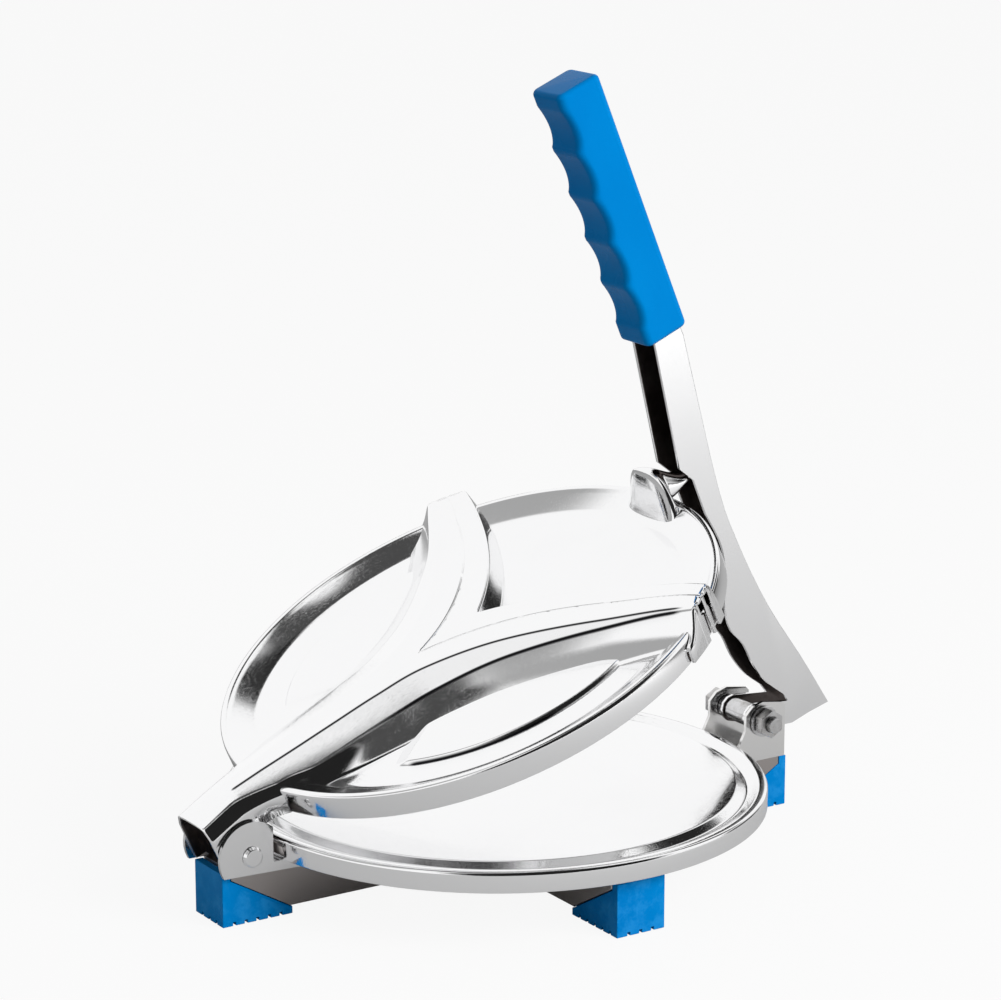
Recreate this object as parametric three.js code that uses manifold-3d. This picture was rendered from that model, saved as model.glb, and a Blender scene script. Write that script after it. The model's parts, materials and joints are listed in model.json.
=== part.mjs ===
// A hand press for puri: a round plate on a cross-shaped stand, a ribbed plate hinged over it,
// and a lever on a bolt at the far end from the hinge. Millimetres, +Z up, the origin on the table
// under the middle of the whole press, +X from the hinge to the lever, -Y the near side.
import * as THREE from 'three';
import { mergeVertices } from 'three/addons/utils/BufferGeometryUtils.js';
import Module from 'manifold-3d';

const wasm = await Module();
wasm.setup();

// Driving dimensions
const gap = 0.3; // left between neighbouring pieces
const overrun = 30; // how far a cut runs past the face it opens

const openAngleDeg = 24.5; // the top plate stands this far open

// Places along the stand, measured from the bottom plate's rim
const reach = {
  pin: 8.7, // out to the hinge pin
  hingeStrap: 16.5, // in to the end of the hinge bracket's strap
  bolt: 10.8, // out to the lever's bolt
  leverStrap: 8.5, // in to the start of the lever bracket's strap
  crossArm: 8.5, // in to the end of a cross arm
  upper: 2.7, // in to the top plate's rim
};

const stand = {
  top: 16.9, // webs of the rails above the table
  width: 16.7,
  wall: 1.2,
  skirtClear: 2.6, // skirts above the table
  skirtEnd: 14.0, // skirts above the table at their cut-back ends
  pastPin: 5.4,
  pastBolt: 7.9,
  ramp: 6.5,
  seatClear: 1.75, // from the foot of the ramp to the hinge bracket's strap
};

const foot = {
  endWall: 3.0,
  length: 23.2,
  lip: 0.7, // flat inner end past the skirt's slant
  groove: 0.9,
  grooveDepth: 1.1,
  groovesAlong: 5,
  groovesAcross: 3,
};

const lower = {
  radius: 82.5,
  faceIn: 9.6, // from the rim in to the edge of the face
  faceTop: 25.0, // pressing face above the table
  sheet: 1.0,
  grooveDepth: 1.7,
  grooveIn: 6.9,
  beadIn: 2.8,
  skirtBottom: 18.7,
  corner: 1.2,
};

const hinge = {
  x: -(lower.radius + reach.pin),
  z: 21.2,
  pinRadius: 2.6,
  pinHeadRadius: 3.3,
  pinHead: 1.3,
  bore: 0.15, // running clearance on the radius
  cheekRadius: 10.6,
  cheekSheet: 1.2,
  cheekFront: 7.0, // from the pin to the cheek's upright edge
  strapEnd: -(lower.radius - reach.hingeStrap),
  strapHang: 2.2, // how far the sides hang below the strap
  cheekBottom: 5.2, // below the pin
};

const upper = {
  shift: 3.5, // closed, its middle lies this far towards the lever
  radius: lower.radius - reach.upper,
  sheet: 1.0,
  skirtBottom: 27.2,
  rimTop: 35.0,
  slopeTop: 34.2,
  slopeOuterIn: 3.2, // from the rim in to the slope's outer edge
  slopeInnerIn: 10.0,
  panel: 30.6,
  corner: 1.3,
  crest: 38.8,
  crestHalf: 6.0,
  armRise: 1.6,
  armRiseShares: [0.6, 0.95], // where an arm starts and stops rising, shares of its reach
  armPast: 1.4, // the arms fold over the rim this far out
};

const island = {
  rimIn: 19.3, // from the rim in to its outer side
  endDeg: 1.5, // each end of that side falls short of the deck's foot line by this
  rise: 1.2,
  slope: 1.6,
  clear: 3.0, // from the deck's foot
};

const deck = {
  shoulder: 2.8, // below the crest
  flank: 6.2,
  foot: 8.6,
  shoulderStem: 9.0, // sideways from the crest, along the stem
  shoulderArm: 1.6, // and at the end of an arm
  footStem: 14.0,
  footArm: 9.0,
  footBulge: 6.0, // further out half way along
  pinchShare: 0.35, // left of these where the stem crosses the rim
  pinchEndShare: 0.72, // where all of them is left, share of the radius
  wall: 2.0, // slant of the steep side between the arms
};

const stem = {
  pastPin: 9.1,
  half: 9.8,
  endCrestHalf: 7.4,
  endTop: 35.5,
  bevel: 1.9,
  bendShare: 0.94, // where it turns level, share of the plate's radius
  joinShare: 0.75, // and where the deck takes over
  lobe: 6.0, // round the pin
  endBottom: 19.8,
};

const nose = {
  past: 7.7, // from the rim out to its tip
  rootIn: 9.3, // and in to its root
  top: 43.4,
  tipTop: 38.6,
  rootHalf: 9.5,
  tipHalf: 3.8,
  rootTop: 34.6,
  springs: 33.6, // height where its sides turn into the arch
  archSides: 10,
  archShare: 0.55,
  stationShares: [0, 0.12, 0.26, 0.4, 0.52, 0.64, 0.76, 0.88, 1],
  peakShare: 0.34,
  neckShare: 0.54,
  lip: 1.6, // the tongue's edge at its tip
  sheet: 1.2,
};

const disc = {
  bottom: 25.6,
  sheet: 1.0,
  wallTop: 32.8,
  corner: 2.6,
};

const bracket = {
  sheet: 1.2,
  innerHalf: 9.0,
  strapStart: lower.radius - reach.leverStrap,
  earTop: 36.3,
  earTopDrop: 1.2,
  earFront: 6.4, // from the bolt to the ear's inner edge, half way up
  earBack: 8.8,
  earCorner: 2.5,
  footReach: 3.6, // the ear's lower corner stands this much further in
};

const rivet = {
  radius: 1.6,
  head: 2.9,
  headHeight: 0.9,
  inset: 3.6, // from the strap's inner end
  spacing: 8.0, // across the rail
};

const pivot = {
  x: lower.radius + reach.bolt,
  z: 30.2,
  boltRadius: 2.4,
  headAcross: 8.0,
  headHeight: 3.2,
  nutAcross: 8.0,
  nutHeight: 3.4,
  boltPast: 1.9,
  washerRadius: 5.0,
  washer: 1.0,
  bushRadius: 3.7,
  bore: 0.15,
};

const lever = {
  half: 6.3, // half the channel's width
  sheet: 1.2,
  rise: 126.0, // pivot up to the grip's lower end
  lobe: 4.4,
  frontInset: 3.4, // the flanges stand this far back from the grip's finger side
  tang: 62.0, // the web's tongue inside the grip
  tangHalf: 4.6,
};

const grip = {
  leanDeg: 22.9,
  length: 85.3,
  depth: 15.8,
  half: 8.0,
  tangBack: 13.7, // from the finger side to the tongue's outer face
  grooves: 5,
  grooveDepth: 2.0,
  grooveEndShare: 0.06, // plain length at each end, share of the grip's length
  ridgeShares: [0.1, 0.35, 0.8], // a ridge's lower edge and the groove's pull points, shares of a pitch
  edge: 1.4,
};

const facets = { plate: 72, arc: 10, pin: 20, curve: 12, edge: 3 };

// Colours of the pieces
const steel = new THREE.MeshStandardMaterial({ color: 0xd9dadb, roughness: 0.12, metalness: 1 });
const dullSteel = new THREE.MeshStandardMaterial({ color: 0xb4b5b6, roughness: 0.3, metalness: 1 });
const bluePlastic = new THREE.MeshStandardMaterial({ color: 0x0086cc, roughness: 0.35, metalness: 0 });

// Solids from geometries
function volumeOf(positions, indices) {
  const [a, b, c] = [new THREE.Vector3(), new THREE.Vector3(), new THREE.Vector3()];
  let six = 0;
  for (let i = 0; i < indices.length; i += 3) {
    a.fromArray(positions, 3 * indices[i]);
    b.fromArray(positions, 3 * indices[i + 1]);
    c.fromArray(positions, 3 * indices[i + 2]);
    six += a.dot(b.cross(c));
  }
  return six;
}

function solid(geometry) {
  const bare = geometry.clone();
  bare.deleteAttribute('normal');
  bare.deleteAttribute('uv');
  const merged = mergeVertices(bare, 1e-4);
  const positions = merged.attributes.position.array;
  const kept = [];
  const index = merged.index.array;
  for (let i = 0; i < index.length; i += 3) {
    const [p, q, r] = [index[i], index[i + 1], index[i + 2]];
    if (p !== q && q !== r && r !== p) kept.push(p, q, r);
  }
  if (volumeOf(positions, kept) < 0) kept.reverse();
  return new wasm.Manifold(new wasm.Mesh({
    numProp: 3,
    vertProperties: Float32Array.from(positions),
    triVerts: Uint32Array.from(kept),
  }));
}

function geometryOf(body) {
  const mesh = body.getMesh();
  const geometry = new THREE.BufferGeometry();
  geometry.setAttribute('position', new THREE.BufferAttribute(mesh.vertProperties, 3));
  geometry.setIndex(new THREE.BufferAttribute(mesh.triVerts, 1));
  geometry.computeVertexNormals();
  return geometry;
}

function joined(bodies) {
  return bodies.reduce((all, body) => all.add(body));
}

// A body of revolution about +Z from a closed profile of [radius, height] pairs
function turned(profile, segments = facets.plate) {
  const points = profile.map(([r, z]) => new THREE.Vector2(r, z));
  return solid(new THREE.LatheGeometry(points, segments).rotateX(Math.PI / 2));
}

// An outline in X and Z given a thickness along Y, from near to far
function slab(shape, near, far, steps = facets.curve) {
  const geometry = new THREE.ExtrudeGeometry(shape, {
    depth: far - near, bevelEnabled: false, curveSegments: steps,
  });
  return solid(geometry.rotateX(Math.PI / 2).translate(0, far, 0));
}

// An outline in X and Y given a height, from low to high
function tile(shape, low, high) {
  const geometry = new THREE.ExtrudeGeometry(shape, {
    depth: high - low, bevelEnabled: false, curveSegments: facets.curve,
  });
  return solid(geometry.translate(0, 0, low));
}

function outline(points) {
  return new THREE.Shape(points.map(([x, y]) => new THREE.Vector2(x, y)));
}

function block(x0, x1, y0, y1, z0, z1) {
  return tile(outline([[x0, y0], [x1, y0], [x1, y1], [x0, y1]]), z0, z1);
}

// A round bar along Y through a point in X and Z
function bar(x, z, radius, near, far, sides = facets.pin) {
  const geometry = new THREE.CylinderGeometry(radius, radius, far - near, sides);
  return solid(geometry.translate(x, (near + far) / 2, z));
}

function coneBar(x, z, nearRadius, farRadius, near, far) {
  const geometry = new THREE.CylinderGeometry(farRadius, nearRadius, far - near, facets.pin);
  return solid(geometry.translate(x, (near + far) / 2, z));
}

// Triangles over a ring, wound with its points or against them
function capOf(ring, first, forward) {
  const along = THREE.ShapeUtils.area(ring) > 0;
  return THREE.ShapeUtils.triangulateShape([...ring], []).flatMap(([a, b, c]) => {
    const same = (THREE.ShapeUtils.area([ring[a], ring[b], ring[c]]) > 0) === along;
    return same === forward ? [first + a, first + b, first + c] : [first + c, first + b, first + a];
  });
}

// Rings of equal point counts joined into one closed body; flat() drops the rings' own direction
function loft(rings, flat) {
  const count = rings[0].length;
  const positions = rings.flat(2);
  const index = [];
  for (let k = 0; k + 1 < rings.length; k += 1) {
    for (let i = 0; i < count; i += 1) {
      const j = (i + 1) % count;
      const [a, b, c, d] = [k * count + i, k * count + j, (k + 1) * count + j, (k + 1) * count + i];
      index.push(a, b, c, a, c, d);
    }
  }
  const last = (rings.length - 1) * count;
  index.push(...capOf(rings[0].map(flat), 0, false));
  index.push(...capOf(rings[rings.length - 1].map(flat), last, true));
  const geometry = new THREE.BufferGeometry();
  geometry.setAttribute('position', new THREE.Float32BufferAttribute(positions, 3));
  geometry.setIndex(index);
  return solid(geometry);
}

const alongX = ([, y, z]) => new THREE.Vector2(y, z);
const alongZ = ([x, y]) => new THREE.Vector2(x, y);

function arcPoints(x, z, radius, fromDeg, toDeg, steps = facets.arc) {
  return Array.from({ length: steps + 1 }, (_, i) => {
    const angle = THREE.MathUtils.degToRad(fromDeg + ((toDeg - fromDeg) * i) / steps);
    return [x + radius * Math.cos(angle), z + radius * Math.sin(angle)];
  });
}

function piece(name, body, material) {
  const mesh = new THREE.Mesh(geometryOf(body), material);
  mesh.name = name;
  return mesh;
}

// Rails of the stand
const plateSeat = lower.faceTop - lower.sheet - gap;
const seatReach = -hinge.strapEnd - stand.seatClear - stand.ramp;
const cutBack = foot.length - foot.endWall - foot.lip;
const hingeReach = stand.pastPin - hinge.x;
const leverReach = pivot.x + stand.pastBolt;
const crossReach = lower.radius - reach.crossArm;

// The side outline of a rail from one end to the other, seen square to its length
function railOutline(start, end, cutStart, cutEnd, drop) {
  const top = stand.top - drop;
  const seat = plateSeat - drop;
  const points = [];
  if (cutStart) points.push([start, stand.skirtEnd], [start + cutBack, stand.skirtClear]);
  else points.push([start, stand.skirtClear]);
  if (cutEnd) points.push([end - cutBack, stand.skirtClear], [end, stand.skirtEnd]);
  else points.push([end, stand.skirtClear]);
  points.push([end, top], [seatReach + stand.ramp, top], [seatReach, seat]);
  if (cutStart) points.push([-seatReach, seat], [-seatReach - stand.ramp, top], [start, top]);
  else points.push([start, seat]);
  return outline(points);
}

function railHollow(start, end, bothEnds) {
  const top = stand.top - stand.wall;
  const seat = plateSeat - stand.wall;
  const points = [[start - overrun, -overrun], [end + overrun, -overrun], [end + overrun, top],
    [seatReach + stand.ramp, top], [seatReach, seat]];
  if (bothEnds) points.push([-seatReach, seat], [-seatReach - stand.ramp, top], [start - overrun, top]);
  else points.push([start - overrun, seat]);
  return outline(points);
}

function longRail() {
  const half = stand.width / 2;
  const [start, end] = [-hingeReach, leverReach];
  const body = slab(railOutline(start, end, true, true, 0), -half, half);
  const hollow = slab(railHollow(start, end, true), -half + stand.wall, half - stand.wall);
  return body.subtract(hollow);
}

// One arm of the cross, from the long rail's side outwards, laid along +X and then turned
function crossArm() {
  const half = stand.width / 2;
  const [start, end] = [half + gap, crossReach];
  const body = slab(railOutline(start, end, false, true, 0), -half, half);
  const hollow = slab(railHollow(start, end, false), -half + stand.wall, half - stand.wall);
  return body.subtract(hollow);
}

// A foot plugs the end of a rail; it is drawn for a rail that ends at x = 0 and runs towards -X
function footBody() {
  const half = stand.width / 2;
  const inner = foot.endWall - foot.length;
  const wallTop = stand.top - stand.wall / 2;
  const side = outline([
    [inner, 0], [foot.endWall, 0], [foot.endWall, wallTop], [gap, wallTop],
    [gap, stand.skirtEnd - gap], [0, stand.skirtEnd - gap],
    [-cutBack, stand.skirtClear - gap], [inner, stand.skirtClear - gap],
  ]);
  const plugTop = stand.top - stand.wall - gap;
  const plugHalf = half - stand.wall - gap;
  const plug = outline([[inner, 0], [gap + gap, 0], [gap + gap, plugTop], [inner, plugTop]]);
  let body = slab(side, -half, half).add(slab(plug, -plugHalf, plugHalf));
  const along = foot.length / (foot.groovesAlong + 1);
  for (let i = 1; i <= foot.groovesAlong; i += 1) {
    const x = inner + i * along;
    body = body.subtract(block(x - foot.groove / 2, x + foot.groove / 2, -overrun, overrun,
      -overrun, foot.grooveDepth));
  }
  const across = stand.width / (foot.groovesAcross + 1);
  for (let i = 1; i <= foot.groovesAcross; i += 1) {
    const y = -half + i * across;
    body = body.subtract(block(-overrun, overrun, y - foot.groove / 2, y + foot.groove / 2,
      -overrun, foot.grooveDepth));
  }
  return body;
}

function turnedTo(body, angleDeg, distance) {
  const moved = geometryOf(body).translate(distance, 0, 0);
  return solid(moved.rotateZ(THREE.MathUtils.degToRad(angleDeg)));
}

// Bottom plate: a flat face, a groove round it and a rolled rim with a plain skirt
function bottomPlate() {
  const s = lower.sheet;
  const top = lower.faceTop;
  const low = top - lower.grooveDepth;
  const [face, groove, bead] = [lower.faceIn, lower.grooveIn, lower.beadIn].map((inwards) =>
    lower.radius - inwards);
  const floor = groove + (bead - groove) / 4;
  const corner = arcPoints(lower.radius - lower.corner, top - lower.corner, lower.corner, 0, 90, 4);
  const under = arcPoints(lower.radius - lower.corner, top - lower.corner,
    lower.corner - s, 90, 0, 2);
  const profile = [
    [0, top], [face, top], [groove, low], [floor, low],
    [bead, top], ...corner.reverse(),
    [lower.radius, lower.skirtBottom], [lower.radius - s, lower.skirtBottom], ...under.reverse(),
    [bead + s / 2, top - s], [floor + s / 2, low - s],
    [groove - s / 2, low - s], [face - s / 2, top - s], [0, top - s],
  ];
  return turned(profile);
}

// Hinge bracket: a strap across the rail whose two sides rise as cheeks outside the stem
const cheekInner = stem.half + gap;
const strapLow = stand.top + gap;
const hingeRivetX = hinge.strapEnd - rivet.inset;
const leverRivetX = bracket.strapStart + rivet.inset;

function cheekOutline() {
  const { x, z } = hinge;
  const strapTop = strapLow + hinge.cheekSheet;
  const front = x + hinge.cheekFront;
  const startDeg = THREE.MathUtils.radToDeg(Math.acos(hinge.cheekFront / hinge.cheekRadius));
  const endDeg = 180 + THREE.MathUtils.radToDeg(Math.asin(hinge.cheekBottom / hinge.cheekRadius));
  return outline([
    [front, strapTop + gap], ...arcPoints(x, z, hinge.cheekRadius, startDeg, endDeg, 16),
    [hinge.strapEnd - hinge.strapHang, strapLow - hinge.strapHang],
    [hinge.strapEnd, strapLow], [hinge.strapEnd, strapTop], [front + gap, strapTop],
  ]);
}

function hingeBracket() {
  const outer = cheekInner + hinge.cheekSheet;
  const strap = block(hinge.x + hinge.cheekFront, hinge.strapEnd, -outer, outer,
    strapLow, strapLow + hinge.cheekSheet);
  const body = joined([strap, slab(cheekOutline(), cheekInner, outer),
    slab(cheekOutline(), -outer, -cheekInner)]);
  const bore = bar(hinge.x, hinge.z, hinge.pinRadius + hinge.bore, -overrun, overrun);
  return body.subtract(bore).subtract(rivetHoles(hingeRivetX));
}

function hingePin() {
  const face = cheekInner + hinge.cheekSheet + hinge.bore;
  const inner = hinge.pinHeadRadius;
  const outer = hinge.pinHeadRadius - hinge.pinHead / 2;
  return joined([
    bar(hinge.x, hinge.z, hinge.pinRadius, -face - hinge.bore, face + hinge.bore),
    coneBar(hinge.x, hinge.z, inner, outer, face, face + hinge.pinHead),
    coneBar(hinge.x, hinge.z, outer, inner, -face - hinge.pinHead, -face),
  ]);
}

// Rivets through a strap and the web under it, side by side across the rail
function uprightBar(x, y, radius, low, high, topRadius = radius) {
  const geometry = new THREE.CylinderGeometry(topRadius, radius, high - low, facets.pin / 2);
  return solid(geometry.rotateX(Math.PI / 2).translate(x, y, (low + high) / 2));
}

const rivetSides = [-rivet.spacing / 2, rivet.spacing / 2];

function rivetHoles(x) {
  return joined(rivetSides.map((y) => uprightBar(x, y, rivet.radius + hinge.bore,
    stand.top - overrun, stand.top + overrun)));
}

function rivetRoom(x) {
  return joined(rivetSides.map((y) => uprightBar(x, y, rivet.head + gap,
    stand.top - stand.wall - rivet.headHeight - gap - gap, stand.top)));
}

function rivetBody(x, y, sheet) {
  const top = strapLow + sheet + hinge.bore;
  const bottom = stand.top - stand.wall - hinge.bore;
  return joined([
    uprightBar(x, y, rivet.radius, bottom - hinge.bore, top + hinge.bore),
    uprightBar(x, y, rivet.head, top, top + rivet.headHeight, rivet.radius),
    uprightBar(x, y, rivet.radius, bottom - rivet.headHeight, bottom, rivet.head),
  ]);
}

// Top plate, drawn closed with its middle over the origin; it is moved and swung open at the end
const pinX = hinge.x - upper.shift;
const armEnd = upper.radius + upper.armPast;
const stemEnd = pinX - stem.pastPin;

function shareCurve(shares) {
  return new THREE.QuadraticBezierCurve(...shares.map(([x, y]) => new THREE.Vector2(x, y)
    .multiplyScalar(upper.radius)));
}

const crestOuterShares = [[-0.98, 0.065], [0.14, 0.145], [0.47, 0.908]];
const crestInnerShares = [[0.077, 0], [0.406, 0.276], [0.596, 0.821]];
const crestOuter = shareCurve(crestOuterShares);
const crestInner = shareCurve(crestInnerShares);

// One side of the crest outline moved out sideways by a distance that changes along it, kept to
// the far side of the middle line
function offsetCurve(curve, fromStart, toEnd, side, bulge = 0) {
  const fine = facets.curve * facets.curve;
  const moved = Array.from({ length: fine + 1 }, (_, i) => {
    const t = i / fine;
    const point = curve.getPoint(t);
    const tangent = curve.getTangent(t);
    const plain = THREE.MathUtils.lerp(fromStart, toEnd, t);
    const along = THREE.MathUtils.smoothstep(-point.x / upper.radius, deck.pinchEndShare, 1);
    const pinch = THREE.MathUtils.lerp(1, deck.pinchShare, along);
    const distance = (plain + bulge * Math.sin(Math.PI * t)) * side * pinch;
    return new THREE.Vector2(point.x - tangent.y * distance, point.y + tangent.x * distance);
  });
  const kept = moved.filter((point) => point.y >= 0);
  return Array.from({ length: facets.curve + 1 }, (_, i) => {
    const at = Math.round(((kept.length - 1) * i) / facets.curve);
    return [kept[at].x, kept[at].y];
  });
}

function crestHeight(x, y) {
  return upper.armRise * THREE.MathUtils.smoothstep(Math.hypot(x, y) / armEnd, ...upper.armRiseShares);
}

// The three-armed outline at one level, as points with their height
function deckRing(level, stemOut, armOut, wallOut, bulge, rising) {
  const outer = offsetCurve(crestOuter, stemOut, armOut, 1, bulge);
  const inner = offsetCurve(crestInner, wallOut, wallOut, -1);
  const farHalf = [...outer, ...inner.slice(1).reverse()];
  const nearHalf = farHalf.map(([x, y]) => [x, -y]).reverse();
  const tip = [inner[0][0], 0];
  return [...farHalf, tip, ...nearHalf].map(([x, y]) => [
    x, y, level + (rising ? crestHeight(x, y) : 0)]);
}

function deckBody(inset, reach, deep) {
  const t = inset;
  const d = deck;
  const halfWay = (stemOut, footOut) => (stemOut + footOut) / 2;
  const rings = [
    deckRing(deep, d.footStem - t, d.footArm - t, d.wall - t, d.footBulge, false),
    deckRing(upper.crest - d.foot - t, d.footStem - t, d.footArm - t, d.wall - t, d.footBulge, false),
    deckRing(upper.crest - d.flank - t, halfWay(d.shoulderStem, d.footStem) - t,
      halfWay(d.shoulderArm, d.footArm) - t, d.wall / 2 - t, d.footBulge / 2, false),
    deckRing(upper.crest - d.shoulder - t, d.shoulderStem - t, d.shoulderArm - t, d.wall / 4 - t,
      0, true),
    deckRing(upper.crest - t, -t / 2, -t / 2, -t, 0, true),
  ];
  const keep = turned([[0, -overrun], [reach, -overrun], [reach, upper.crest + overrun],
    [0, upper.crest + overrun]]);
  return loft(rings, alongZ).intersect(keep);
}

// A raised field on a panel between the stem and an arm
function islandBody(inset) {
  const t = inset;
  const [fromStem, fromArm] = [deck.footStem + island.clear, deck.footArm + island.clear];
  const foot = offsetCurve(crestOuter, fromStem, fromArm, 1, deck.footBulge);
  const radius = upper.radius - island.rimIn;
  const side = foot.filter(([x, y]) => Math.hypot(x, y) < radius - island.slope);
  const [toDeg, fromDeg] = [side[0], side.at(-1)].map(([x, y]) =>
    THREE.MathUtils.radToDeg(Math.atan2(y, x)));
  const arc = arcPoints(0, 0, radius, fromDeg + island.endDeg, toDeg - island.endDeg,
    facets.curve);
  const base = [...arc, ...side];
  const middle = base.reduce(([a, b], [x, y]) => [a + x / base.length, b + y / base.length], [0, 0]);
  const ring = (shrink, z) => base.map(([x, y]) => {
    const away = Math.hypot(x - middle[0], y - middle[1]);
    const kept = (away - shrink) / away;
    return [middle[0] + (x - middle[0]) * kept, middle[1] + (y - middle[1]) * kept, z];
  });
  const rings = [ring(t, upper.panel - overrun * (t ? 1 : 0) - t - upper.sheet),
    ring(t, upper.panel - t), ring(island.slope + t / 2, upper.panel + island.rise - t)];
  const one = loft(rings, alongZ);
  return one.add(one.mirror([0, 1, 0]));
}

// The stem: a folded channel from the hinge that widens into the deck
function stemBody(inset, end, deep) {
  const t = inset;
  const join = -upper.radius * stem.joinShare;
  const shoulderAt = upper.crest - deck.shoulder;
  const places = [
    [end, stem.endCrestHalf, stem.endTop, stem.half, stem.endTop - stem.bevel],
    [pinX + hinge.cheekRadius, (stem.endCrestHalf + upper.crestHalf) / 2,
      (stem.endTop + upper.crest) / 2 - stem.bevel / 2, stem.half, stem.endTop - stem.bevel / 2],
    [-upper.radius * stem.bendShare, upper.crestHalf, upper.crest - stem.bevel / 2,
      stem.half + gap, shoulderAt - stem.bevel / 2],
    [join, upper.crestHalf, upper.crest - gap, stem.half + gap, shoulderAt],
  ];
  const rings = places.map(([x, crestHalf, top, half, shoulder]) => [
    [x, -half + t, deep], [x, half - t, deep], [x, half - t, shoulder - t],
    [x, crestHalf - t / 2, top - t], [x, -crestHalf + t / 2, top - t], [x, -half + t, shoulder - t],
  ]);
  return loft(rings, alongX);
}

function stemSide() {
  const end = stemEnd;
  return outline([
    [end, stem.endBottom], ...arcPoints(pinX, hinge.z, stem.lobe, 200, 360, 12),
    [pinX + stem.lobe + gap, upper.skirtBottom - gap], [0, upper.skirtBottom - gap],
    [0, upper.crest + overrun], [end, upper.crest + overrun],
  ]);
}

// The nose: a folded hump on the rim that runs on as a short tongue for the lever to press
function noseBody(inset, bottom) {
  const t = inset;
  const root = upper.radius - nose.rootIn;
  const { smoothstep, lerp } = THREE.MathUtils;
  const rings = nose.stationShares.map((share) => {
    const x = root + share * (nose.rootIn + nose.past) + (share === 0 ? t : 0);
    const narrowed = smoothstep(share, nose.peakShare, nose.neckShare);
    const half = lerp(nose.rootHalf, nose.tipHalf, narrowed) - t;
    const fall = (nose.top - nose.tipTop) * smoothstep(share, nose.peakShare, 1);
    const top = lerp(nose.rootTop, nose.top, smoothstep(share, 0, nose.peakShare)) - fall;
    const rise = top - nose.springs;
    const arch = arcPoints(0, 0, 1, 0, 180, nose.archSides).map(([c, d]) => [
      x, half * Math.sign(c) * Math.abs(c) ** nose.archShare,
      nose.springs - t + rise * d ** nose.archShare,
    ]);
    return [[x, half, bottom], ...arch, [x, -half, bottom]];
  });
  return loft(rings, alongX);
}

function topNose() {
  const tip = upper.radius + nose.past;
  const rim = upper.radius + gap;
  const under = slab(outline([[rim, -overrun], [tip + overrun, -overrun],
    [tip + overrun, nose.tipTop], [tip, nose.tipTop - nose.lip], [rim, nose.springs]]),
  -overrun, overrun);
  return noseBody(0, upper.panel).subtract(noseBody(nose.sheet, -overrun))
    .subtract(under).subtract(turned(coverProfile(-gap)));
}

// The dished disc that the three arms stand on: rim, inner slope and flat panel
function coverProfile(inset) {
  const t = inset;
  const u = upper;
  const low = inset ? -overrun : u.skirtBottom;
  const corner = arcPoints(u.radius - u.corner, u.rimTop - u.corner, u.corner - t, 0, 80, 4);
  return [
    [0, low], [u.radius - t, low], ...corner,
    [u.radius - u.slopeOuterIn + t / 2, u.slopeTop - t], [u.radius - u.slopeInnerIn, u.panel - t],
    [0, u.panel - t],
  ];
}

function topCover() {
  const t = upper.sheet;
  const skirtInside = upper.radius - t;
  const end = stemEnd;
  const column = turned([[0, -overrun], [skirtInside, -overrun],
    [skirtInside, upper.crest + overrun], [0, upper.crest + overrun]]);
  const skin = joined([
    turned(coverProfile(0)),
    deckBody(0, armEnd, upper.panel - t),
    deckBody(0, armEnd, upper.skirtBottom).subtract(column),
    stemBody(0, end, -overrun).intersect(slab(stemSide(), -overrun, overrun)),
    islandBody(0),
  ]);
  const inside = joined([
    turned(coverProfile(t)),
    deckBody(t, skirtInside, -overrun),
    stemBody(t, end - overrun, -2 * overrun),
    islandBody(t),
  ]);
  const bore = bar(pinX, hinge.z, hinge.pinRadius + hinge.bore, -overrun, overrun);
  return skin.subtract(inside).subtract(bore);
}

// Press disc: a flat pan whose wall stands inside the cover's skirt
function pressDisc() {
  const s = disc.sheet;
  const radius = upper.radius - upper.sheet - gap;
  const outer = arcPoints(radius - disc.corner, disc.bottom + disc.corner, disc.corner, -90, 0, 6);
  const inner = arcPoints(radius - disc.corner, disc.bottom + disc.corner,
    disc.corner - s, 0, -90, 6);
  const profile = [
    [0, disc.bottom], ...outer, [radius, disc.wallTop], [radius - s, disc.wallTop], ...inner,
    [0, disc.bottom + s],
  ];
  return turned(profile);
}

// Lever bracket: a strap on the rail with two ears for the lever's bolt
function earOutline() {
  const b = bracket;
  const [front, back] = [pivot.x - b.earFront, pivot.x + b.earBack];
  const side = b.earTop - b.earTopDrop;
  return outline([
    [b.strapStart, strapLow], [back, strapLow], [back, side - b.earCorner / 2],
    [back - b.earCorner / 2, side], [pivot.x, b.earTop], [front + b.earCorner, side],
    [front, side - b.earCorner], [front, pivot.z - b.earCorner],
    [front - b.footReach, strapLow + b.footReach], [front - b.footReach, strapLow + b.sheet],
    [b.strapStart, strapLow + b.sheet],
  ]);
}

function leverBracket() {
  const b = bracket;
  const outer = b.innerHalf + b.sheet;
  const body = joined([
    block(b.strapStart, pivot.x + b.earBack, -outer, outer, strapLow, strapLow + b.sheet),
    slab(earOutline(), b.innerHalf, outer), slab(earOutline(), -outer, -b.innerHalf),
  ]);
  const bore = bar(pivot.x, pivot.z, pivot.boltRadius + pivot.bore, -overrun, overrun);
  return body.subtract(bore).subtract(rivetHoles(leverRivetX));
}

// Bolt, nut, washers and the bushes that hold the lever in the middle
const earOuter = bracket.innerHalf + bracket.sheet;

function hexBar(across, near, far) {
  const geometry = new THREE.CylinderGeometry(across / Math.sqrt(3), across / Math.sqrt(3),
    far - near, 6);
  return solid(geometry.translate(pivot.x, (near + far) / 2, pivot.z));
}

function ringBar(radius, near, far) {
  const hole = bar(pivot.x, pivot.z, pivot.boltRadius + pivot.bore, near - overrun, far + overrun);
  return bar(pivot.x, pivot.z, radius, near, far).subtract(hole);
}

function leverBolt() {
  const headSeat = earOuter + gap + pivot.washer + gap;
  const tail = -(headSeat + pivot.nutHeight + pivot.boltPast);
  return joined([
    bar(pivot.x, pivot.z, pivot.boltRadius, tail, headSeat + gap),
    hexBar(pivot.headAcross, headSeat, headSeat + pivot.headHeight),
  ]);
}

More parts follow.
